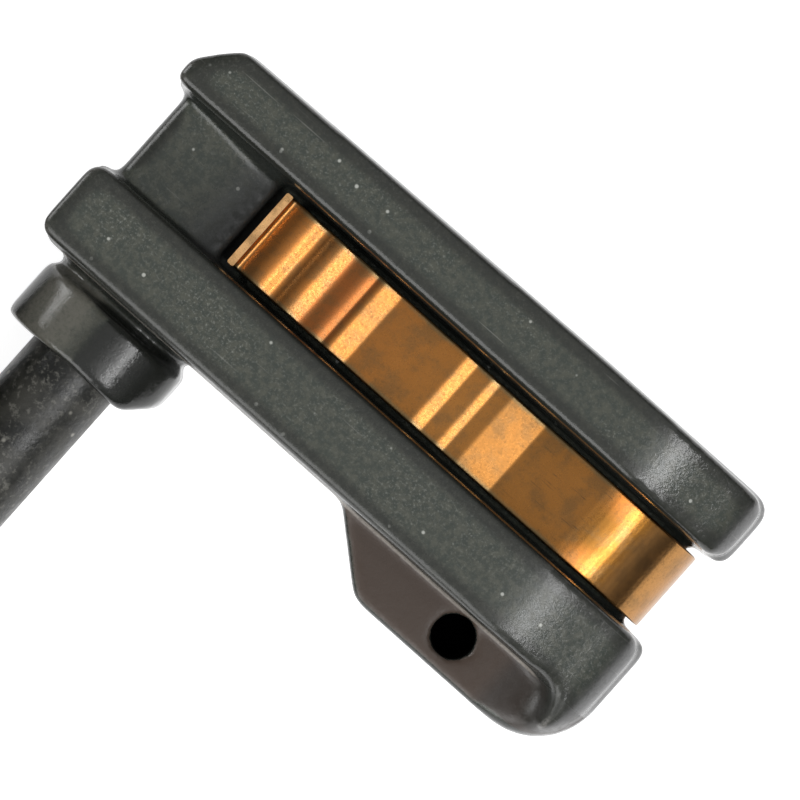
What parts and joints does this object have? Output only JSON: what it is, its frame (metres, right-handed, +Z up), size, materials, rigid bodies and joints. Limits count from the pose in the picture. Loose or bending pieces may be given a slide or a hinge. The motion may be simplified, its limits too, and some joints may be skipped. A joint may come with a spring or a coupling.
{
  "type": "brake pad wear sensor",
  "caption": "Moulded sensor head with a leaf spring in its channel that clips on a brake pad, on a sheathed lead with a coil and a sealed plug.",
  "frame": {"origin": "on the flat back, under the middle of the head", "axes": "+X from the head's tail to its nose, +Y from the side where the lead leaves to the far rail, +Z up to the face with the spring"},
  "size_m": [0.0846, 0.0772, 0.0131],
  "materials": {
    "black_moulding": "satin, moulded, slightly mottled",
    "phosphor_bronze": "bright rolled strip",
    "lead_sheath": "smooth matt sheath",
    "tinned_copper": "tinned, bright",
    "potting_resin": "cast resin",
    "white_insulation": "extruded",
    "blue_insulation": "extruded",
    "seal_rubber": "moulded rubber",
    "boot_rubber": "moulded rubber",
    "plug_plastic": "moulded",
    "lock_plastic": "moulded",
    "tie_plastic": "moulded"
  },
  "bodies": {
    "root": {"head_moulding": "black_moulding", "spring_strip": "phosphor_bronze", "core_a": "white_insulation", "core_b": "blue_insulation", "splice_a": "tinned_copper", "splice_b": "tinned_copper", "sensing_loop": "white_insulation", "potting_fill": "potting_resin", "lead_run": "lead_sheath", "lead_coil": "lead_sheath", "lead_tail": "lead_sheath", "coil_tie": "tie_plastic", "plug_boot": "boot_rubber", "plug_housing": "plug_plastic", "plug_lock": "lock_plastic", "plug_seal": "seal_rubber", "plug_wire_seal": "seal_rubber", "plug_core_a": "white_insulation", "plug_core_b": "blue_insulation", "plug_terminal_a": "tinned_copper", "plug_terminal_b": "tinned_copper"}
  },
  "joints": []
}
